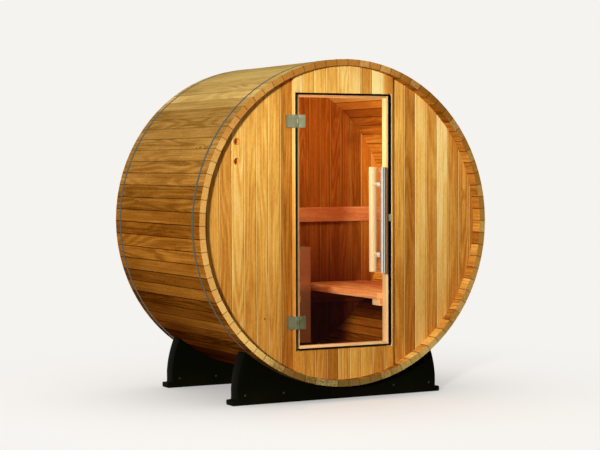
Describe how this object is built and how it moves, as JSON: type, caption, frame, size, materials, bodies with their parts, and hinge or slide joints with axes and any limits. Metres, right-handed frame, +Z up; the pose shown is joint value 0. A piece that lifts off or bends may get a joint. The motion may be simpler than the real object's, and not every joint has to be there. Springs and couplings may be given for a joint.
{
  "type": "barrel sauna",
  "caption": "Short round cedar barrel sauna on two black cradles, with a tinted glass door, steel hoops, inner benches and a small stove.",
  "frame": {"origin": "on the ground, under the middle of the barrel's length and width", "axes": "+Z up, -Y out of the door side along the barrel's axis, +X to the right of someone facing the door"},
  "size_m": [1.8314, 1.2129, 1.9107],
  "materials": {
    "stave_cedar": "oiled",
    "wall_cedar": "oiled",
    "frame_cedar": "oiled",
    "bench_wood": "planed",
    "handle_wood": "satin",
    "bronze_glass": "clear bronze tint",
    "black_rubber": "matt",
    "hinge_steel": "brushed",
    "polished_steel": "polished",
    "hoop_steel": "dull",
    "black_cradle": "matt",
    "heater_steel": "polished",
    "heater_stone": "rough"
  },
  "bodies": {
    "cabin": {"back_wall_left": "wall_cedar", "back_wall_middle": "wall_cedar", "back_wall_right": "wall_cedar", "backrest_rail_left": "bench_wood", "backrest_rail_right": "bench_wood", "barrel_staves_01": "stave_cedar", "barrel_staves_02": "stave_cedar", "barrel_staves_03": "stave_cedar", "barrel_staves_04": "stave_cedar", "barrel_staves_05": "stave_cedar", "barrel_staves_06": "stave_cedar", "barrel_staves_07": "stave_cedar", "barrel_staves_08": "stave_cedar", "barrel_staves_09": "stave_cedar", "barrel_staves_10": "stave_cedar", "barrel_staves_11": "stave_cedar", "barrel_staves_12": "stave_cedar", "barrel_staves_13": "stave_cedar", "barrel_staves_14": "stave_cedar", "barrel_staves_15": "stave_cedar", "barrel_staves_16": "stave_cedar", "bench_back_ledger_left": "bench_wood", "bench_back_ledger_right": "bench_wood", "bench_front_ledger_left": "bench_wood", "bench_front_ledger_right": "bench_wood", "bench_left": "bench_wood", "bench_right": "bench_wood", "door_head": "frame_cedar", "door_post_left": "frame_cedar", "door_post_right": "frame_cedar", "door_sill": "frame_cedar", "front_cradle": "black_cradle", "front_hoop": "hoop_steel", "front_wall_left": "wall_cedar", "front_wall_over_door": "wall_cedar", "front_wall_right": "wall_cedar", "front_wall_under_door": "wall_cedar", "heater_body": "heater_steel", "heater_stones": "heater_stone", "hinge_frame_leaves": "hinge_steel", "hinge_pins": "hinge_steel", "rear_cradle": "black_cradle", "rear_hoop": "hoop_steel"},
    "door": {"door_glass": "bronze_glass", "door_seal": "black_rubber", "hinge_glass_leaves": "hinge_steel", "hinge_clamp_plates": "hinge_steel", "door_handle_outside": "polished_steel", "door_handle_inside": "handle_wood", "door_handle_standoffs": "polished_steel", "door_catch_plate": "hinge_steel"}
  },
  "joints": [
    {"name": "door_hinge", "type": "hinge", "parent": "cabin", "child": "door", "pos_m": [-0.3, -0.558, 1.005], "axis": [0, 0, -1], "range_deg": [0, 105]}
  ]
}
